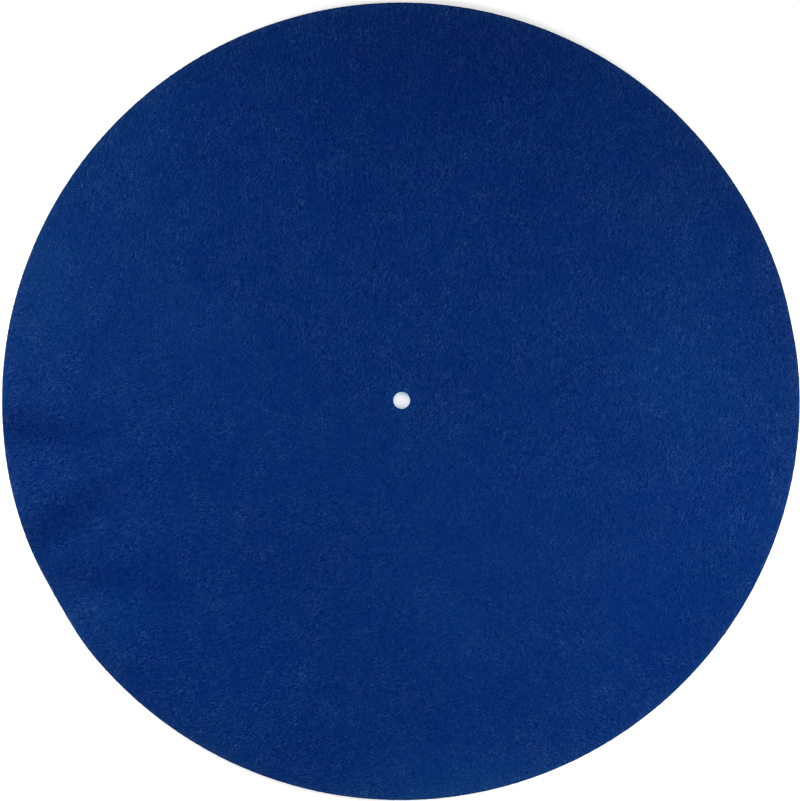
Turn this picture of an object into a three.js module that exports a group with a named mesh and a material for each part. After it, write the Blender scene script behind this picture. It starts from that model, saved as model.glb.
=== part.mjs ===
// Turntable platter mat: one round of pressed wool felt, punched for the spindle.
// Millimetres, +Z up. The underside rests on z = 0, and the round of the outline is centred on the z axis.
import * as THREE from "three";

// Driving dimensions.
const outerDiameter = 300; // drops inside the raised rim of a 12 inch platter
const thickness = 3; // one layer of felt
const spindleHoleDiameter = 6.4; // punched snug, so that the felt gives on a 7.1 mm spindle
const holeOffset = new THREE.Vector2(0.32, 0.34); // the punch landed this far from the middle

// The die comes down on the top face. It draws the top corner down into a wide roll and leaves
// the bottom corner nearly square. The rolls come from the die's wedge, not from the felt's gauge.
const topRoll = { width: 0.6, depth: 0.45 };
const footRoll = { width: 0.2, depth: 0.2 };
const wallLean = 0.12; // the cut wall runs out this much on its way down

// Shallow places where the blank was short of the die's circle. Angles are in degrees,
// anticlockwise from +X, and the depth is at the middle of each place.
const shallows = [
  { middle: 209, halfSpan: 11, depth: 0.77 },
  { middle: 38, halfSpan: 21, depth: 0.26 },
  { middle: 12, halfSpan: 7, depth: 0.22 },
];

// Fineness of the mesh.
const rimSegments = 180;
const holeSegments = 48;
const rollSteps = 4;
const wallSteps = 2;

// Radius of the cut outline at an angle: the die's circle, less a cosine dip at each shallow place.
function rimRadius(angle) {
  let radius = outerDiameter / 2;
  for (const { middle, halfSpan, depth } of shallows) {
    const away = THREE.MathUtils.euclideanModulo(THREE.MathUtils.radToDeg(angle) - middle + 180, 360) - 180;
    if (Math.abs(away) < halfSpan) radius -= (depth * (1 + Math.cos((Math.PI * away) / halfSpan))) / 2;
  }
  return radius;
}

const holeRadius = () => spindleHoleDiameter / 2;

// Section of a cut edge, from the top face to the underside. Each point has its height and how far
// it stands back from the foremost line of the wall, which is just above the bottom corner.
function cutSection() {
  const points = [];
  const wallTop = thickness - topRoll.depth;
  for (let i = 0; i <= rollSteps; i++) {
    const turn = ((Math.PI / 2) * i) / rollSteps;
    points.push({
      back: wallLean + topRoll.width * (1 - Math.sin(turn)),
      height: wallTop + topRoll.depth * Math.cos(turn),
    });
  }
  for (let i = 1; i < wallSteps; i++) {
    const down = i / wallSteps;
    points.push({
      back: wallLean * (1 - down),
      height: THREE.MathUtils.lerp(wallTop, footRoll.depth, down),
    });
  }
  for (let i = 0; i <= rollSteps; i++) {
    const turn = ((Math.PI / 2) * i) / rollSteps;
    points.push({
      back: footRoll.width * (1 - Math.cos(turn)),
      height: footRoll.depth * (1 - Math.sin(turn)),
    });
  }
  return points;
}

// One ring of points for each point of the section, carried round a centre. The material lies
// inside the rim and outside the hole, so back is -1 for the rim and +1 for the hole.
function edgeRings(section, { centre, radiusAt, back, segments }) {
  return section.map((point) => {
    const ring = [];
    for (let i = 0; i < segments; i++) {
      const angle = (2 * Math.PI * i) / segments;
      const radius = radiusAt(angle) + back * point.back;
      ring.push(
        new THREE.Vector3(
          centre.x + radius * Math.cos(angle),
          centre.y + radius * Math.sin(angle),
          point.height,
        ),
      );
    }
    return ring;
  });
}

// The closed skin: both cut edges as bands between their rings, and the two flat faces between them.
function feltGeometry() {
  const section = cutSection();
  const rim = edgeRings(section, {
    centre: new THREE.Vector2(0, 0),
    radiusAt: rimRadius,
    back: -1,
    segments: rimSegments,
  });
  const hole = edgeRings(section, {
    centre: holeOffset,
    radiusAt: holeRadius,
    back: 1,
    segments: holeSegments,
  });

  const positions = [];
  const triangle = (...corners) => {
    for (const corner of corners) positions.push(corner.x, corner.y, corner.z);
  };

  const band = (rings, outwards) => {
    for (let k = 0; k + 1 < rings.length; k++) {
      const [upper, lower] = outwards ? [rings[k], rings[k + 1]] : [rings[k + 1], rings[k]];
      for (let i = 0; i < upper.length; i++) {
        const next = (i + 1) % upper.length;
        triangle(upper[i], lower[i], lower[next]);
        triangle(upper[i], lower[next], upper[next]);
      }
    }
  };

  const face = (outer, inner, up) => {
    const corners = [...outer, ...inner];
    for (const [a, b, c] of THREE.ShapeUtils.triangulateShape(outer, [inner])) {
      const turned = THREE.ShapeUtils.area([corners[a], corners[b], corners[c]]) > 0 === up;
      if (turned) triangle(corners[a], corners[b], corners[c]);
      else triangle(corners[a], corners[c], corners[b]);
    }
  };

  band(rim, true);
  band(hole, false);
  face(rim[0], hole[0], true);
  face(rim.at(-1), hole.at(-1), false);

  const geometry = new THREE.BufferGeometry();
  geometry.setAttribute("position", new THREE.Float32BufferAttribute(positions, 3));
  geometry.computeVertexNormals();
  return geometry;
}

const felt = new THREE.MeshStandardMaterial({ color: 0x0c2c69, roughness: 0.95, metalness: 0 });

const mat = new THREE.Mesh(feltGeometry(), felt);
mat.name = "felt_mat";

const part = new THREE.Group();
part.add(mat);

export default part;
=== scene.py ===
# %% [markdown]
# # A felt mat for a record player
# The object is one round of thick wool felt, cut with a die and punched for the spindle. It is one
# piece. What makes it look like felt is in three layers: the form of the cut sheet, the grain of
# matted fibres on its surface, and single fibres that stand a hair's breadth proud of it.
#
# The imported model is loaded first. It fixes where the mat lies and how large it is.

import bpy
import numpy as np
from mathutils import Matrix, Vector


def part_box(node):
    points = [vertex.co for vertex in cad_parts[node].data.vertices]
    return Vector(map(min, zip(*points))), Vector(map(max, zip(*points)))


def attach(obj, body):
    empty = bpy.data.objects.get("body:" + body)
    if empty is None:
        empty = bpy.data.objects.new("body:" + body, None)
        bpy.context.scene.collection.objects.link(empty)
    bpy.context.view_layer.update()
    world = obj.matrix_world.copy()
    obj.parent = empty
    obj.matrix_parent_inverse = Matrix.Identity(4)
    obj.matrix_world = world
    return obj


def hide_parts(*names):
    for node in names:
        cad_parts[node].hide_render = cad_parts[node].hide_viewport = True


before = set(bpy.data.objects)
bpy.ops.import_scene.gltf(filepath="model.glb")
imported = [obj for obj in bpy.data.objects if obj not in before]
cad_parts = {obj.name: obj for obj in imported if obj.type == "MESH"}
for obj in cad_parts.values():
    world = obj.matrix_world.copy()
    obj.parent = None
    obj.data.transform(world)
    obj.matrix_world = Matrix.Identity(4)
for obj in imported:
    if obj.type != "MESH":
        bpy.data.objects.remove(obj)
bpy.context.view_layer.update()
low, high = (np.array(corner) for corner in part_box("felt_mat"))
print("solid mat, mm:", np.round((high - low) * 1000, 2))

# %% [markdown]
# ## Sizes
# The outline is the circle of the die with three shallow places where the blank ran short. The punch
# landed a little off the middle. The die draws the top corner down into a roll and leaves the bottom
# corner nearly square. These are the solid's own sizes, in metres.

# %% Sizes of the mat
mm = 0.001
rim = (high[0] - low[0]) / 2
gauge = high[2] - low[2]
hole = 3.2 * mm
hole_at = np.array([0.32, 0.34]) * mm
top_roll = np.array([0.6, 0.45]) * mm
foot_roll = np.array([0.2, 0.2]) * mm
wall_lean = 0.12 * mm
# middle and half span in degrees, depth in metres
shallows = [(209, 11, 0.77 * mm), (38, 21, 0.26 * mm), (12, 7, 0.22 * mm)]


def rim_radius(angle):
    """The die's circle, less a cosine dip over each shallow place."""
    radius = np.full_like(angle, rim)
    for middle, half_span, nap_light_and_sheen_gain in shallows:
        away = (np.degrees(angle) - middle + 180) % 360 - 180
        dip = nap_light_and_sheen_gain * (1 + np.cos(np.pi * away / half_span)) / 2
        radius -= np.where(abs(away) < half_span, dip, 0)
    return radius


def cut_section(steps=6, wall=4):
    """Section of a cut edge from the top face down: a quarter ellipse, a wall that leans out evenly,
    and a smaller quarter ellipse. Returns how far each point stands back, and its height."""
    turn = np.linspace(0, np.pi / 2, steps)
    down = np.linspace(0, 1, wall)[1:-1]
    wall_top = gauge - top_roll[1]
    back = np.concatenate([
        wall_lean + top_roll[0] * (1 - np.sin(turn)),
        wall_lean * (1 - down),
        foot_roll[0] * (1 - np.cos(turn)),
    ])
    height = np.concatenate([
        wall_top + top_roll[1] * np.cos(turn),
        wall_top + (foot_roll[1] - wall_top) * down,
        foot_roll[1] * (1 - np.sin(turn)),
    ])
    return back, height


print("section points:", len(cut_section()[0]))

# %% [markdown]
# ## How the sheet lies
# Felt that has been rolled or stood on its edge never lies quite flat again. This one rolls gently all
# over, and at the left of its rim it rises in a few soft ridges that run in from the edge. One height
# map lifts both faces, so the sheet keeps its gauge. A second, finer one belongs to each face alone:
# felt is thicker in some clumps than in others.

# %% Height maps
def rolling(x, y, wavelength, waves, seed):
    """A smooth random surface of unit spread: a sum of plane waves of about one wavelength, whose
    directions and phases are drawn at random."""
    draw = np.random.default_rng(seed)
    total = np.zeros_like(x)
    for _ in range(waves):
        way = draw.uniform(0, 2 * np.pi)
        pitch = 2 * np.pi / (wavelength * draw.uniform(0.75, 1.35))
        total += np.sin(pitch * (x * np.cos(way) + y * np.sin(way)) + draw.uniform(0, 2 * np.pi))
    return total * np.sqrt(2 / waves)


def hump(value, middle, half_width):
    """One at the middle, falling to nothing half a width away, along a raised cosine."""
    share = np.clip(abs(value - middle) / half_width, 0, 1)
    return (1 + np.cos(np.pi * share)) / 2


# angle in degrees, half width in degrees, radius where it is highest, reach inwards, height
ridges = [
    (191, 7.5, 150 * mm, 42 * mm, 0.55 * mm),
    (205, 7.0, 148 * mm, 55 * mm, 0.50 * mm),
    (219, 8.0, 146 * mm, 45 * mm, 0.55 * mm),
    (168, 13.0, 150 * mm, 40 * mm, 0.30 * mm),
    (-12, 16.0, 150 * mm, 40 * mm, 0.25 * mm),
]


def lift(x, y):
    """How far the sheet stands off what it lies on: a slow roll, never below nothing, and the ridges.
    A ridge is a raised cosine across its angle, and one along its radius."""
    radius, angle = np.hypot(x, y), np.degrees(np.arctan2(y, x))
    total = np.maximum(rolling(x, y, 95 * mm, 9, seed=4) * 0.10 * mm + 0.05 * mm, 0)
    total *= hump(radius, 120 * mm, 100 * mm)
    for middle, half_width, crest, reach, height in ridges:
        away = (angle - middle + 180) % 360 - 180
        total += height * hump(away, 0, half_width) * hump(radius, crest, reach)
    return total


print("ridges:", len(ridges), "up to", round(1000 * max(ridge[-1] for ridge in ridges), 2), "mm high")


# %% Thick and thin places
def clumps(x, y, seed):
    """Thick and thin places of one face: two sizes of random roll."""
    return (rolling(x, y, 17 * mm, 24, seed) * 0.020 + rolling(x, y, 8 * mm, 30, seed + 1) * 0.012) * mm


def underside(x, y):
    """The underside stands on the tips of its fibres, a twentieth of a millimetre up or a little more."""
    return 0.05 * mm + abs(clumps(x, y, 33))


# %% [markdown]
# ## How the nap lies, and painted light
# Felt is brighter where its nap is brushed towards the light, and darker where it is pressed down.
# The same large, soft places also carry painted light: the top is darker and the left, right and
# bottom brighter, as a painted falloff of the lamps, and the three creases at the left of the rim are
# darker as painted shade. Such places are kept as one number for each point of the sheet, which the
# material adds to its tone. Along both cut edges the nap stands up and is paler, over the last few
# millimetres. The cut walls and the rolls over them are a little darker again, as painted shade. A
# second number is painted sheen: the mat is greyer, with more red and less blue, along the rim and at
# its sides, and deepest in colour at the lower left. A third one takes light from all colours alike,
# as painted shade. It is strongest in the three creases at the left of the rim, which are folded away
# from the lamp further than the height map shows.

# %% Tone map
# x, y in mm, direction in degrees, half length and half width in mm, and the change of brightness
# These are partly nap and partly painted light: the darker top and the brighter left, right and bottom
# follow the falloff of the lamps as painted light, and the three at the left rim from (-135, -9) to
# (-101, -66) are painted shade in the creases.
nap_and_light_places = [
    (18, 128, 0, 100, 52, -0.12),
    (-134, 44, 85, 56, 24, 0.17),
    (-106, 92, 45, 46, 26, 0.12),
    (-98, 58, 60, 48, 30, 0.07),
    (-135, -9, -6, 46, 11, -0.09),
    (-128, -45, 32, 44, 13, -0.09),
    (-101, -66, -10, 28, 10, -0.09),
    (-84, -28, 0, 26, 15, -0.07),
    (-42, -60, 0, 40, 22, -0.05),
    (-115, -83, 0, 27, 22, 0.11),
    (24, -145, 3, 74, 23, 0.18),
    (-60, -124, -35, 42, 24, 0.05),
    (105, 19, 60, 42, 34, 0.10),
    (108, 54, 110, 40, 28, 0.08),
    (53, 84, 20, 32, 24, -0.07),
    (-12, 86, 0, 38, 22, -0.04),
    (-72, 30, 0, 34, 22, 0.06),
    (58, 28, 0, 48, 24, 0.05),
    (132, -2, 80, 30, 22, 0.05),
    (58, -84, 20, 26, 18, -0.05),
    (105, -90, 42, 44, 24, -0.09),
    (36, -109, 10, 42, 17, -0.07),
    (18, -79, -38, 32, 12, 0.08),
    (-108, 31, 60, 12, 10, -0.08),
    (-20, 77, 50, 17, 13, -0.06),
    (-86, -72, 80, 34, 16, -0.04),
    (-86, 43, 90, 32, 14, 0.04),
    (28, 30, 0, 20, 16, 0.03),
    (-88, 115, 35, 26, 14, 0.05),
    (106, 0, 110, 42, 30, 0.05),
    (128, -70, 60, 56, 30, 0.035),
    (108, -82, 50, 62, 38, 0.05),
    (85, 20, 90, 40, 26, 0.03),
]

# the same, with the amount of painted sheen, which adds red and takes away blue
painted_sheen_places = [
    (-138, 35, 85, 85, 50, 0.5),
    (-95, 55, 60, 50, 35, 0.5),
    (-70, -95, -35, 75, 38, -0.9),
    (-96, 14, 80, 50, 30, 0.45),
    (146, 10, 90, 75, 26, 0.5),
    (105, 80, 45, 60, 32, 0.6),
    (30, 135, 0, 75, 30, 0.5),
    (72, -30, 0, 40, 24, -0.4),
    (108, -82, 50, 62, 38, -0.5),
    (0, -142, 0, 60, 26, -0.5),
]

# the same, with the change of light: the three creases, and the mat's left and right sides
shaded = [
    (-143, -10, -6, 40, 12, -0.24),
    (-132, -46, 32, 48, 13, -0.23),
    (-118, -66, -5, 30, 9, -0.13),
    (-140, 38, 85, 70, 34, -0.05),
    (128, -62, 60, 62, 30, -0.06),
    (108, -82, 50, 62, 38, -0.09),
]
print("places:", len(nap_and_light_places), "brushed,", len(painted_sheen_places), "handled,", len(shaded), "shaded")


# %% Nap, handling and pale edges
def soft_places(x, y, places):
    """Sum over the places of a raised cosine of the distance from each middle, measured along and
    across its direction in half lengths and half widths."""
    total = np.zeros_like(x)
    for at_x, at_y, degrees, half_length, half_width, change in places:
        c, s = np.cos(np.radians(degrees)), np.sin(np.radians(degrees))
        dx, dy = x - at_x * mm, y - at_y * mm
        apart = np.hypot((dx * c + dy * s) / half_length, (dy * c - dx * s) / half_width) / mm
        total += change * hump(apart, 0, 1)
    return total


def nap_and_light_tone(x, y):
    """The places of nap and painted light, and a slow random roll of two sizes."""
    roll = rolling(x, y, 38 * mm, 22, seed=9) * 0.008 + rolling(x, y, 19 * mm, 30, seed=10) * 0.009
    return roll + soft_places(x, y, nap_and_light_places)


def painted_sheen_map(x, y):
    """The places of painted sheen, and 1.7 * exp(-distance / 4 mm) from the rim, as painted sheen along
    it.
    """
    to_rim = rim_radius(np.arctan2(y, x)) - np.hypot(x, y)
    at_rim, fades_over = 1.7, 4 * mm
    return soft_places(x, y, painted_sheen_places) + at_rim * np.exp(-to_rim / fades_over)


def paler_edge(x, y):
    """0.30 * exp(-distance / 1.8 mm), where the distance is that to the nearer edge. A square brings it
    down to nothing again over the width of the roll."""
    to_rim = rim_radius(np.arctan2(y, x)) - np.hypot(x, y)
    to_hole = np.hypot(x - hole_at[0], y - hole_at[1]) - hole
    distance = np.minimum(to_rim, to_hole)
    raised, fades_over = 0.30, 1.8 * mm
    over_roll = np.clip((distance - wall_lean) / top_roll[0], 0, 1) ** 2
    return raised * np.exp(-distance / fades_over) * over_roll


# %% [markdown]
# ## The cut sheet
# A sheet with a hole has the topology of a ring, so it can be one closed grid: one parameter runs round
# the mat, and the other runs once round its section, up the hole, out over the top, down the rim and
# back under. No pole and no cap is needed, every face is a quad, and the steps can be fine at the
# edges and wide on the faces between them.

# %% Build the sheet
def mesh_piece(name, vertices, faces):
    """A smooth-shaded object at the origin, with its place in its mesh. faces is a list of arrays, each
    with one face a row."""
    mesh = bpy.data.meshes.new(name)
    mesh.from_pydata(vertices.reshape(-1, 3), [], [row for part in faces for row in part.tolist()])
    mesh.shade_smooth()
    made = bpy.data.objects.new(name, mesh)
    bpy.context.scene.collection.objects.link(made)
    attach(made, "root")
    return made


def cut_sheet(around=540, across=66):
    """Point of the sheet = (1 - w) * point of the hole's ring + w * point of the rim's ring, at one
    angle. w is 0 along the hole's section, 1 along the rim's, and runs between them on both faces, less
    a sine wave that makes its steps short near both. The height is the section's plus lift(), and on
    the faces the clumps, which fade in over the outermost 6 mm. The last result is 1 on the cut walls,
    0 on the faces, and runs between them over the rolls."""
    angle = np.linspace(0, 2 * np.pi, around, endpoint=False)
    back, height = cut_section()
    share = np.linspace(0, 1, across)[1:-1]
    crowding = 0.75
    share -= crowding * np.sin(2 * np.pi * share) / (2 * np.pi)
    face = np.ones_like(share)
    w = np.concatenate([0 * back, share, 0 * back + 1, share[::-1]])
    stand = np.concatenate([back[::-1], face * back[0], back, face * back[-1]])
    z = np.concatenate([height[::-1], face * gauge, height, face * 0])
    ring = np.stack([np.cos(angle), np.sin(angle)], 1)[:, None]
    at_hole = hole_at + ring * (hole + stand)[None, :, None]
    at_rim = ring * (rim_radius(angle)[:, None] - stand)[..., None]
    place = (1 - w)[None, :, None] * at_hole + w[None, :, None] * at_rim
    x, y = place[..., 0], place[..., 1]
    top = np.clip(z / gauge, 0, 1)
    cut = np.clip(np.minimum((gauge - z) / top_roll[1], z / foot_roll[1]), 0, 1)[None] + 0 * x
    margin = 6 * mm
    inside = hump(np.minimum(rim - np.hypot(x, y), margin), margin, margin)
    z = z + lift(x, y) + inside * (top * clumps(x, y, 21) + (1 - top) * underside(x, y))
    vertices = np.stack([x, y, z], 2)
    i, j = np.meshgrid(np.arange(around), np.arange(len(w)), indexing="ij")
    here, beyond = i * len(w), (i + 1) % around * len(w)
    j_next = (j + 1) % len(w)
    quads = np.stack([here + j, here + j_next, beyond + j_next, beyond + j], 2)
    return vertices, quads.reshape(-1, 4), cut


sheet_points, sheet_quads, sheet_cut = cut_sheet()
felt = mesh_piece("felt_sheet", sheet_points, [sheet_quads])
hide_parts("felt_mat")
sheet_x, sheet_y = sheet_points[..., 0], sheet_points[..., 1]
# painted shade on the cut walls and over their rolls
painted_wall_shade = 0.18
nap_and_light_values = nap_and_light_tone(sheet_x, sheet_y) + paler_edge(sheet_x, sheet_y) - painted_wall_shade * sheet_cut
# one number each at every point: nap with painted light, painted sheen, and painted shade
for name, values in (("nap_and_light", nap_and_light_values), ("painted_sheen", painted_sheen_map(sheet_x, sheet_y)),
                     ("shade", soft_places(sheet_x, sheet_y, shaded))):
    felt.data.attributes.new(name, "FLOAT", "POINT").data.foreach_set("value", values.ravel())
print("sheet:", len(felt.data.polygons) * 2, "triangles, lies up to",
      round(1000 * float(sheet_points[..., 2].max()), 2), "mm high")

# %% [markdown]
# ## Loose fibres
# Wool fibres mat together, but the last layer of them still lies on the surface as short curved hairs.
# Each is a thin tube with three sides, few faces and closed ends. Its path is worked out for all
# fibres at once as one array of fibres, points and coordinates. On the faces a fibre lies along the
# sheet, with its ends tucked in and its middle a few hundredths of a millimetre clear. On the top one
# fibre in sixteen has worked loose and arches up by a few tenths.

# %% Fibre tubes
def tubes(paths, radius):
    """Closed three-sided tubes along paths[fibre, point, xyz]. A ring is the point plus the radius
    times a unit vector square to the path, turned by a third of a turn for each corner."""
    count, points, _ = paths.shape
    ahead = np.gradient(paths, axis=1)
    ahead /= np.linalg.norm(ahead, axis=2, keepdims=True)
    level = np.cross(ahead, [0.13, 0.07, 1.0])
    level /= np.linalg.norm(level, axis=2, keepdims=True)
    square = np.cross(level, ahead)
    turn = np.radians([90, 210, 330])
    around = level[:, :, None] * np.cos(turn)[:, None] + square[:, :, None] * np.sin(turn)[:, None]
    rings = paths[:, :, None] + around * radius[:, :, None, None]
    first = (np.arange(count) * points * 3)[:, None, None]
    step = (np.arange(points - 1) * 3)[None, :, None]
    corner, after = np.arange(3), (np.arange(3) + 1) % 3
    quads = np.stack([first + step + corner, first + step + 3 + corner,
                      first + step + 3 + after, first + step + after], 3)
    start = np.arange(count)[:, None] * points * 3
    caps = np.concatenate([start + [0, 1, 2], start + (points - 1) * 3 + [2, 1, 0]])
    return rings, [quads.reshape(-1, 4), caps]


def tapered(draw, count, points, thick):
    """Radii that are full along a fibre and thin at both ends."""
    along = np.linspace(0, 1, points)
    shape = 0.35 + 0.65 * np.sin(np.pi * along) ** 0.5
    return draw.uniform(0.7, 1.2, (count, 1)) * thick / 2 * shape


# %% [markdown]
# ## Which way the fibres lie
# The felt was made from a carded web, so its hairs have a grain. On the upper and right part of this
# mat they lie almost upright, to the lower left they lean over to the right, and at the bottom right to
# the left. The first gives way to the others across a slanting line that passes below the middle.
# The same three shares steer the loose fibres here and the drawn grain in the material further down.

# %% Grain direction
grain = {"upright": 74, "lower_left": 28, "lower_right": 148}
slant = 0.57
fades_in = (4 * mm, -56 * mm)
splits = (-22 * mm, 68 * mm)


def grain_shares(x, y):
    """Share of each direction at a place: the lower two fade in as y + slant * x falls, one to the
    left and one to the right."""
    lower = np.clip((fades_in[0] - y - slant * x) / (fades_in[0] - fades_in[1]), 0, 1)
    to_right = np.clip((x - splits[0]) / (splits[1] - splits[0]), 0, 1)
    return np.stack([1 - lower, lower * (1 - to_right), lower * to_right])


print("shares of the grain at the middle:", np.round(grain_shares(0, 0), 2))


# %% Fibres of the faces
def face_fibres(seed, count, up, length=(1.3, 3.6), thick=0.05, points=5, loose=16):
    """Fibres on a face, with lengths and thickness in mm. A path starts anywhere on the face, its
    direction is the grain's plus a wide random spread, and it turns by an even bend and a small ripple
    on its way. It arches over its length by a few thicknesses, and one in loose of the top ones by
    more."""
    draw = np.random.default_rng(seed)
    edge = top_roll[0] + 1.5 * mm
    radius = np.sqrt(draw.uniform((hole + edge) ** 2, (rim - edge) ** 2, count))
    angle = draw.uniform(0, 2 * np.pi, count)
    x, y = hole_at[0] + radius * np.cos(angle), hole_at[1] + radius * np.sin(angle)
    shares = np.cumsum(grain_shares(x, y), 0)
    pick = (draw.uniform(0, 1, count) > shares).sum(0).clip(0, 2)
    way = np.radians(np.array(list(grain.values()))[pick]) + draw.normal(0, 0.6, count)
    along = np.linspace(0, 1, points)
    bend = draw.normal(0, 1.0, (count, 1)) * (along - 0.5)
    ripple = draw.normal(0, 0.35, (count, 1))
    ripple = ripple * np.sin(2 * np.pi * along + draw.uniform(0, 6.3, (count, 1)))
    heading = way[:, None] + bend + ripple
    step = draw.uniform(*length, (count, 1)) * mm / (points - 1)
    x = x[:, None] + np.cumsum(np.cos(heading), 1) * step
    y = y[:, None] + np.cumsum(np.sin(heading), 1) * step
    furthest = np.hypot(x, y).max(1)
    nearest = np.hypot(x - hole_at[0], y - hole_at[1]).min(1)
    keep = (furthest < rim - edge) & (nearest > hole + 1 * mm)
    loft = draw.uniform(0.2, 1.5, (count, 1))
    if up:
        loft += (draw.uniform(0, loose, (count, 1)) < 1) * draw.uniform(1, 7, (count, 1))
    arch = (np.sin(np.pi * along) * loft - 0.35) * thick * mm
    if up:
        z = gauge + lift(x, y) + clumps(x, y, 21) + arch
    else:
        z = np.maximum(lift(x, y) + underside(x, y) - arch, 0.6 * thick * mm)
    paths = np.stack([x, y, z], 2)[keep]
    return tubes(paths, tapered(draw, len(paths), points, thick * mm))


fibres = []
for name, seed, count, up in (("fibres_top_a", 1, 7000, True), ("fibres_top_b", 2, 7000, True),
                              ("fibres_top_c", 3, 7000, True), ("fibres_under", 4, 3600, False)):
    points, faces = face_fibres(seed, count, up)
    fibres.append(mesh_piece(name, points, faces))
    print(name, len(points), "fibres,", sum(len(p) * (len(p[0]) - 2) for p in faces), "triangles")

# %% [markdown]
# ## Fuzz of the cut edges
# A cut wall shows the ends of the fibres. Most lie flat against it again, and a few stick out by a few
# tenths of a millimetre. They soften the edge when it is seen from the side, and they are far too fine
# to change the outline seen from above. In the hole they stick out further, because the punch tears
# more than the wide die, and the spindle has pulled at them since.

# %% Fibres of the rim and of the hole
def edge_fibres(seed, count, at_rim, length, reach, thick=0.05, points=5):
    """Fibres on a cut wall, with lengths, reach and thickness in mm. A path starts at a random angle
    and height, runs along the wall with a random rise, and leaves it with the square of the way, by
    reach at most and mostly far less."""
    draw = np.random.default_rng(seed)
    along = np.linspace(0, 1, points)
    angle = draw.uniform(0, 2 * np.pi, (count, 1))
    size = draw.uniform(*length, (count, 1)) * mm
    rise = draw.normal(0, 0.45, (count, 1))
    sense = draw.choice([-1, 1], (count, 1))
    out = (draw.gamma(1.3, 0.25, (count, 1)) * reach).clip(0, reach) * mm
    z = draw.uniform(0.25 * mm, gauge - top_roll[1] * 0.8, (count, 1)) + size * np.sin(rise) * along
    z = np.clip(z, 0.06 * mm, gauge - 0.1 * mm)
    stand = out * along**2 - 0.015 * mm
    base = rim_radius(angle) if at_rim else hole + 0 * angle
    lean = wall_lean * np.clip((z - foot_roll[1]) / (gauge - top_roll[1]), 0, 1)
    roll = top_roll[0] * (1 - np.sqrt(1 - np.clip((z - gauge + top_roll[1]) / top_roll[1], 0, 1) ** 2))
    sign = 1 if at_rim else -1
    radius = base + sign * (stand - lean - roll)
    angle = angle + sense * size * np.cos(rise) * along / base
    x, y = radius * np.cos(angle), radius * np.sin(angle)
    z = z + lift(x, y)
    if not at_rim:
        x, y = x + hole_at[0], y + hole_at[1]
    return tubes(np.stack([x, y, z], 2), tapered(draw, count, points, thick * mm))


for name, seed, count, at_rim, length, reach in (("fibres_rim", 5, 5200, True, (0.5, 2.4), 0.4),
                                                 ("fibres_hole", 6, 180, False, (0.4, 1.4), 0.5)):
    points, faces = edge_fibres(seed, count, at_rim, length, reach)
    fibres.append(mesh_piece(name, points, faces))
    print(name, count, "fibres,", sum(len(p) * (len(p[0]) - 2) for p in faces), "triangles")

# %% [markdown]
# ## Helpers for materials
# A material is a small network. One helper adds a node, sets its properties and its inputs, and links
# an input when it is given a socket instead of a number. A second one does arithmetic, a third moves
# a value to another range, and the last gives a colour as it is read off a screen.

# %% Node helpers
def add(tree, kind, inputs=None, **settings):
    """A new node. settings are its properties, and inputs its sockets by name or number."""
    made = tree.nodes.new("ShaderNode" + kind)
    for name, value in settings.items():
        setattr(made, name, value)
    for name, value in (inputs or {}).items():
        if isinstance(value, bpy.types.NodeSocket):
            tree.links.new(value, made.inputs[name])
        else:
            made.inputs[name].default_value = value
    return made


def sums(tree, operation, *values):
    """One arithmetic node."""
    return add(tree, "Math", dict(enumerate(values)), operation=operation).outputs[0]


def ranged(tree, value, low, high, to_low=0.0, to_high=1.0, smooth=False):
    """value moved from one range to another, and held within it."""
    inputs = {"Value": value, "From Min": low, "From Max": high, "To Min": to_low, "To Max": to_high}
    kind = "SMOOTHSTEP" if smooth else "LINEAR"
    return add(tree, "MapRange", inputs, interpolation_type=kind).outputs["Result"]


def srgb(red, green, blue):
    """A colour as read off a screen, in linear light."""
    share = np.array([red, green, blue]) / 255
    linear = np.where(share <= 0.04045, share / 12.92, ((share + 0.055) / 1.055) ** 2.4)
    return (*linear.tolist(), 1.0)


print("a screen's middle grey in linear light:", round(srgb(128, 128, 128)[0], 3))

# %% [markdown]
# ## Felt
# Felt has no weave. Seen close, it is a thicket of strokes under half a millimetre wide and about two
# long, some catching light and some in the gaps between others. A stroke is noise on stretched
# coordinates: squeezed across the grain and drawn out along it. Single hairs are thin lines, along
# the level line of such a noise. A gentle warp of the coordinates first makes both of them curve.
# Three directions are drawn and mixed by the shares that steer the loose fibres, and a finer noise
# and some crossing hairs fill in between.
#
# The mix sets both the colour and the bump, because a fibre that is proud is also the one that catches
# light. A slower noise makes it stronger in some clumps than in others. Raised nap and painted light
# move the colour up the same ramp and brighten it too, green more than blue, because light that comes
# back from among the fibres is less deep. Where the painted sheen lies, there is more red and less
# blue. The places of painted shade come last and darken the colour as it is.

# %% Tones of the felt
# place on the ramp and colour, from the gaps between fibres to the tips of the palest ones
felt_tones = [
    (0.00, srgb(0, 3, 78)),
    (0.32, srgb(0, 34, 101)),
    (0.42, srgb(5, 40, 105)),
    (0.50, srgb(11, 45, 109)),
    (0.60, srgb(18, 52, 114)),
    (0.70, srgb(25, 58, 120)),
    (0.85, srgb(38, 70, 130)),
    (1.00, srgb(52, 84, 142)),
]
# change of red, green and blue for raised nap with painted light, and for painted sheen
nap_and_light_gain = (0.0, 1.08, 0.37)
painted_sheen_gain = (0.28, 0.0, -0.05)
print("tones:", len(felt_tones))


# %% Strokes and hairs
def strokes(tree, place, degrees, length, width, detail=2.0):
    """Noise stretched along one direction. The coordinates are turned by the direction and divided by
    the stroke's length and width."""
    turned = add(tree, "Mapping", {
        "Vector": place,
        "Rotation": (0, 0, np.radians(degrees)),
        "Scale": (length, width, width),
    }, vector_type="TEXTURE")
    noise = add(tree, "TexNoise", {
        "Vector": turned.outputs[0],
        "Scale": 1.0,
        "Detail": detail,
        "Roughness": 0.7,
    })
    return noise.outputs["Fac"]


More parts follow.
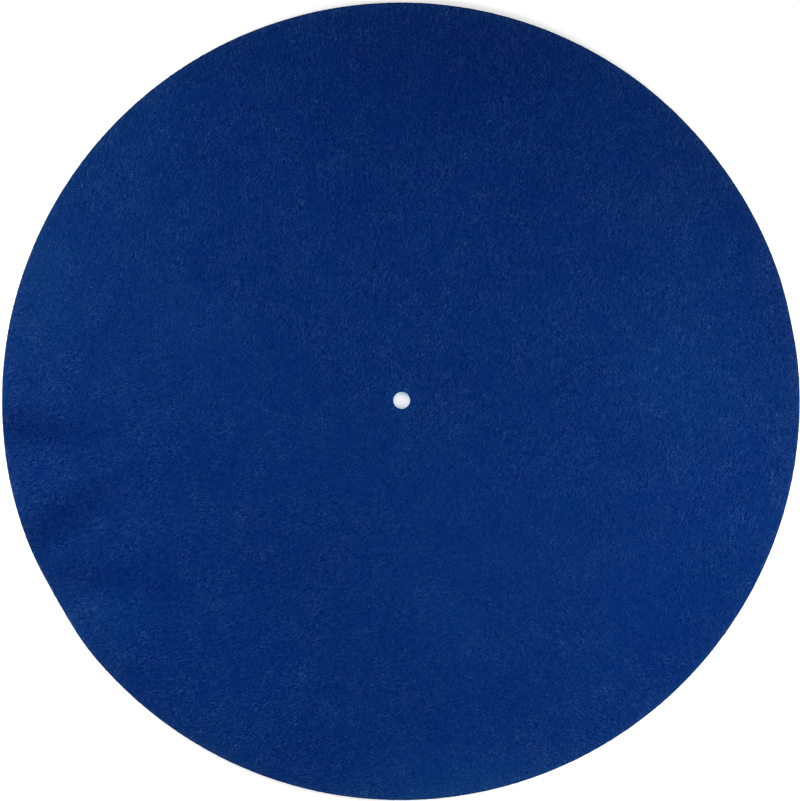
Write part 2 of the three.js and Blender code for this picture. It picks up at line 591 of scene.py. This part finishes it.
def hairs(tree, place, degrees, length, width):
    """Thin lines: the level line of such a noise at one half, widened to a ridge with sloping sides."""
    noise = strokes(tree, place, degrees, length, width, detail=0.0)
    off = sums(tree, "ABSOLUTE", sums(tree, "SUBTRACT", noise, 0.5))
    slope = 0.10
    return ranged(tree, off, 0.0, slope, 1.0, 0.0)


# %% Felt material
# length along the grain and width across it
stroke_size = (1.9 * mm, 0.41 * mm)
hair_size = (2.8 * mm, 0.36 * mm)
fine_size = (0.36 * mm, 0.27 * mm)
crossing_size = (0.55 * mm, 0.55 * mm)
# weight of each layer in the mix, the mix's own middle, and its contrast in thin and in thick clumps
layer_weights = {"strokes": 0.34, "fine": 0.66, "hairs": 0.24, "crossing": 0.12}
middle_of_layers = 0.61
weakest, strongest = 1.05, 2.15


def felt_material():
    """tone = (layers - their middle) * contrast + 0.5, plus a little of the clumps and of the nap with
    its painted light. The colour is the ramp's at that tone, times one plus each gain for the nap and for
    the painted sheen, times one plus the painted shade."""
    made = bpy.data.materials.new("blue_felt")
    made.use_nodes = True
    tree = made.node_tree
    tree.nodes.clear()
    place = add(tree, "TexCoord").outputs["Object"]

    warp = add(tree, "TexNoise", {"Vector": place, "Scale": 260.0, "Detail": 1.0})
    shift = add(tree, "VectorMath", {0: warp.outputs["Color"], 1: (0.5, 0.5, 0.5)}, operation="SUBTRACT")
    curl = add(tree, "VectorMath", {0: shift.outputs[0], "Scale": 2.2 * mm}, operation="SCALE")
    curled = add(tree, "VectorMath", {0: place, 1: curl.outputs[0]}, operation="ADD").outputs[0]

    split = add(tree, "SeparateXYZ", {0: place})
    leaning = sums(tree, "MULTIPLY_ADD", split.outputs["X"], slant, split.outputs["Y"])
    lower = ranged(tree, leaning, *fades_in)
    to_right = ranged(tree, split.outputs["X"], *splits)
    to_left = sums(tree, "SUBTRACT", 1.0, to_right)
    shares = [
        sums(tree, "SUBTRACT", 1.0, lower),
        sums(tree, "MULTIPLY", lower, to_left),
        sums(tree, "MULTIPLY", lower, to_right),
    ]
    drawn, combed = 0.0, 0.0
    for share, degrees in zip(shares, grain.values()):
        stroke = strokes(tree, curled, degrees, *stroke_size)
        drawn = sums(tree, "MULTIPLY_ADD", stroke, share, drawn)
        hair = hairs(tree, curled, degrees, *hair_size)
        combed = sums(tree, "MULTIPLY_ADD", hair, share, combed)
    fine = strokes(tree, curled, 80, *fine_size)
    crossing = hairs(tree, curled, 0, *crossing_size)
    thicket = sums(tree, "MULTIPLY", drawn, layer_weights["strokes"])
    for layer, kind in ((fine, "fine"), (combed, "hairs"), (crossing, "crossing")):
        thicket = sums(tree, "MULTIPLY_ADD", layer, layer_weights[kind], thicket)

    clump = add(tree, "TexNoise", {"Vector": place, "Scale": 140.0, "Detail": 2.0}).outputs["Fac"]
    contrast = ranged(tree, clump, 0.3, 0.7, weakest, strongest)
    # nap with painted light, read from the sheet
    nap_and_light = add(tree, "Attribute", attribute_name="nap_and_light").outputs["Fac"]
    off_middle = sums(tree, "SUBTRACT", thicket, middle_of_layers)
    tone = sums(tree, "MULTIPLY_ADD", off_middle, contrast, 0.5)
    tone = sums(tree, "MULTIPLY_ADD", sums(tree, "SUBTRACT", clump, 0.5), 0.10, tone)
    tone = sums(tree, "MULTIPLY_ADD", nap_and_light, 0.24, tone)

    ramp = add(tree, "ValToRGB", {"Fac": tone})
    stops = ramp.color_ramp.elements
    stops[0].color, stops[1].color = felt_tones[0][1], felt_tones[-1][1]
    for at, colour in felt_tones[1:-1]:
        stops.new(at).color = colour
    # painted sheen, read from the sheet: more red and less blue
    painted_sheen = add(tree, "Attribute", attribute_name="painted_sheen").outputs["Fac"]
    gain = add(tree, "VectorMath", {0: nap_and_light, 1: nap_and_light_gain, 2: (1, 1, 1)},
               operation="MULTIPLY_ADD").outputs[0]
    nap_light_and_sheen_gain = add(tree, "VectorMath", {0: painted_sheen, 1: painted_sheen_gain, 2: gain},
                operation="MULTIPLY_ADD").outputs[0]
    dyed = add(tree, "VectorMath", {0: ramp.outputs["Color"], 1: nap_light_and_sheen_gain},
               operation="MULTIPLY").outputs[0]
    shade = add(tree, "Attribute", attribute_name="shade").outputs["Fac"]
    lit = add(tree, "VectorMath", {0: dyed, "Scale": sums(tree, "ADD", shade, 1.0)},
              operation="SCALE").outputs[0]

    small = add(tree, "Bump", {"Height": thicket, "Distance": 0.15 * mm, "Strength": 1.0})
    wide = add(tree, "Bump", {"Height": clump, "Distance": 0.3 * mm, "Strength": 0.4,
                              "Normal": small.outputs[0]})
    skin = add(tree, "BsdfPrincipled", {
        "Base Color": lit,
        "Roughness": 0.95,
        "Specular IOR Level": 0.0,
        "Sheen Weight": 0.25,
        "Sheen Roughness": 0.45,
        "Sheen Tint": srgb(20, 110, 190),
        "Normal": wide.outputs[0],
    })
    end = add(tree, "OutputMaterial", {"Surface": skin.outputs[0]})
    end.is_active_output = True
    return made


felt.data.materials.append(felt_material())
print("felt material:", len(felt.data.materials[0].node_tree.nodes), "nodes")

# %% [markdown]
# ## Loose fibres' finish
# A single dyed fibre is a little clearer and paler than the mass of them, and it has a soft gloss. The
# paler of the two tones also stands for the glint of light on the fibres, as a painted highlight. Two
# tones on different pieces are enough, because the fibres overlap everywhere.

# %% Fibre material
def fibre_material(name, colour):
    """One even colour with a soft gloss."""
    made = bpy.data.materials.new(name)
    made.use_nodes = True
    skin = made.node_tree.nodes["Principled BSDF"]
    skin.inputs["Base Color"].default_value = colour
    skin.inputs["Roughness"].default_value = 0.7
    skin.inputs["Specular IOR Level"].default_value = 0.1
    return made


# the paler tone is partly a painted highlight: the glint of light on the fibres
pale_and_glint = fibre_material("pale_glint_fibre", srgb(40, 80, 148))
dyed = fibre_material("dyed_fibre", srgb(14, 50, 116))
for piece, finish in zip(fibres, (pale_and_glint, dyed, pale_and_glint, pale_and_glint, dyed, dyed)):
    piece.data.materials.append(finish)
    print(piece.name, "is", finish.name)

# %% [markdown]
# ## Floor
# The mat lies on a plain white floor. The floor is a diffuse white that takes the mat's shadow. To the
# camera it adds a little light of its own, so that it reads as white without more light on the mat,
# and a little more of it further out, where the lamps no longer reach. What shows of it in the hole
# gives less towards the wall, which takes half the sky from it there, and gives it back bluer.

# %% Floor
# change of the floor's own red, green and blue in the whole hole, and near its wall
hole_gain = (0.05, 0.0, 0.10)
wall_gain = (-0.57, -0.28, -0.18)


def to_the_eye(tree):
    """One for rays that show the background: straight from the camera, in a gloss, or through glass."""
    path = add(tree, "LightPath")
    return sums(tree, "MAXIMUM", path.outputs["Is Camera Ray"],
                sums(tree, "MAXIMUM", path.outputs["Is Glossy Ray"], path.outputs["Is Transmission Ray"]))


def floor_plane(half=4.0):
    """A square of twice half a side in metres. To the eye it adds its own light, which grows with the
    distance from the middle. In the hole its colour is one plus the hole's gain, plus the wall's
    gain times how near the wall is."""
    mesh = bpy.data.meshes.new("floor")
    corners = [(-half, -half, 0), (half, -half, 0), (half, half, 0), (-half, half, 0)]
    mesh.from_pydata(corners, [], [(0, 1, 2, 3)])
    made = bpy.data.objects.new("floor", mesh)
    bpy.context.scene.collection.objects.link(made)
    white = bpy.data.materials.new("white_floor")
    white.use_nodes = True
    tree = white.node_tree
    skin = tree.nodes["Principled BSDF"]
    skin.inputs["Base Color"].default_value = (0.8, 0.8, 0.8, 1)
    skin.inputs["Roughness"].default_value = 1.0
    skin.inputs["Specular IOR Level"].default_value = 0.0
    place = add(tree, "TexCoord").outputs["Object"]
    distance = add(tree, "VectorMath", {0: place}, operation="LENGTH").outputs["Value"]
    own_light = ranged(tree, distance, 0.2, 0.5, 0.55, 0.88, smooth=True)
    brightest = (hole_at[0] + 0.12 * mm, hole_at[1] - 0.37 * mm, 0)
    from_middle = add(tree, "VectorMath", {0: place, 1: brightest},
                      operation="DISTANCE").outputs["Value"]
    in_hole = ranged(tree, distance, 0.5 * rim, 0.9 * rim, 1.0, 0.0)
    near_wall = ranged(tree, from_middle, 0.3 * hole, 1.05 * hole, smooth=True)
    near_wall = sums(tree, "MULTIPLY", near_wall, in_hole)
    in_middle = add(tree, "VectorMath", {0: in_hole, 1: hole_gain, 2: (1, 1, 1)},
                    operation="MULTIPLY_ADD").outputs[0]
    open_sky = add(tree, "VectorMath", {0: near_wall, 1: wall_gain, 2: in_middle},
                   operation="MULTIPLY_ADD").outputs[0]
    tree.links.new(open_sky, skin.inputs["Emission Color"])
    tree.links.new(sums(tree, "MULTIPLY", to_the_eye(tree), own_light), skin.inputs["Emission Strength"])
    made.data.materials.append(white)
    return made


print("floor:", tuple(floor_plane().dimensions[:2]), "m")

# %% [markdown]
# ## Light
# A flat thing is photographed on a copy stand: two softboxes low at its left and right, a weak one
# above, and a white room. The low ones rake over the nap and make the mat brighter towards both
# sides. A lamp's power is worked out from the level of white it is to give at the middle of the mat:
# power = level * (pi * distance)^2 / cosine of its slant.

# %% Lamps and sky
def softbox(name, azimuth, height, distance, size, level):
    """A round lamp that faces the middle of the mat. azimuth and height are its angles in degrees,
    azimuth anticlockwise from +X as seen from above, and distance and size are in metres."""
    turn, slant = np.radians(azimuth), np.radians(height)
    level_part = np.cos(slant)
    place = distance * np.array([level_part * np.cos(turn), level_part * np.sin(turn), np.sin(slant)])
    lamp = bpy.data.lights.new(name, "AREA")
    lamp.shape = "DISK"
    lamp.size = size
    lamp.energy = level * (np.pi * distance) ** 2 / (place[2] / distance)
    made = bpy.data.objects.new(name, lamp)
    made.location = place
    made.visible_camera = False
    made.rotation_mode = "QUATERNION"
    made.rotation_quaternion = made.location.to_track_quat("Z", "Y")
    bpy.context.scene.collection.objects.link(made)
    print(name, round(lamp.energy, 2), "W at", round(distance, 2), "m")


softbox("left_softbox", 180, 30, 0.38, 0.2, 0.30)
softbox("right_softbox", 335, 35, 0.37, 0.2, 0.37)
softbox("upper_softbox", 100, 65, 1.3, 0.4, 0.12)

sky = bpy.data.worlds.new("sky")
bpy.context.scene.world = sky
sky.use_nodes = True
tree = sky.node_tree
background = tree.nodes["Background"]
background.inputs["Color"].default_value = (1, 1, 1, 1)
tree.links.new(ranged(tree, to_the_eye(tree), 0, 1, 0.20, 1.0), background.inputs["Strength"])

# %% [markdown]
# ## Camera
# The photograph looks straight down. The widest line that shows is the roll of the top corner. The
# lens makes it 398.8 pixels in radius, and the camera stands aside by the eight tenths of a pixel that
# the mat's middle is off the picture's.

# %% Camera
picture = np.array([800, 801])
radius_px = 398.83
aside_px = np.array([-0.81, 0.82])
away = 1.0
corner = gauge - top_roll[1]
pixels_per_slope = radius_px / ((rim - wall_lean) / (away - corner))
pixel = away / pixels_per_slope
sensor = 36.0

camera = bpy.data.cameras.new("camera")
camera.sensor_width = sensor
camera.lens = float(pixels_per_slope * sensor / picture.max())
viewer = bpy.data.objects.new("camera", camera)
viewer.location = (*(aside_px * pixel), away)
bpy.context.scene.collection.objects.link(viewer)
bpy.context.scene.camera = viewer
bpy.context.scene.view_settings.view_transform = "Standard"
print("lens", round(camera.lens, 2), "mm, a pixel is", round(pixel * 1000, 4), "mm")
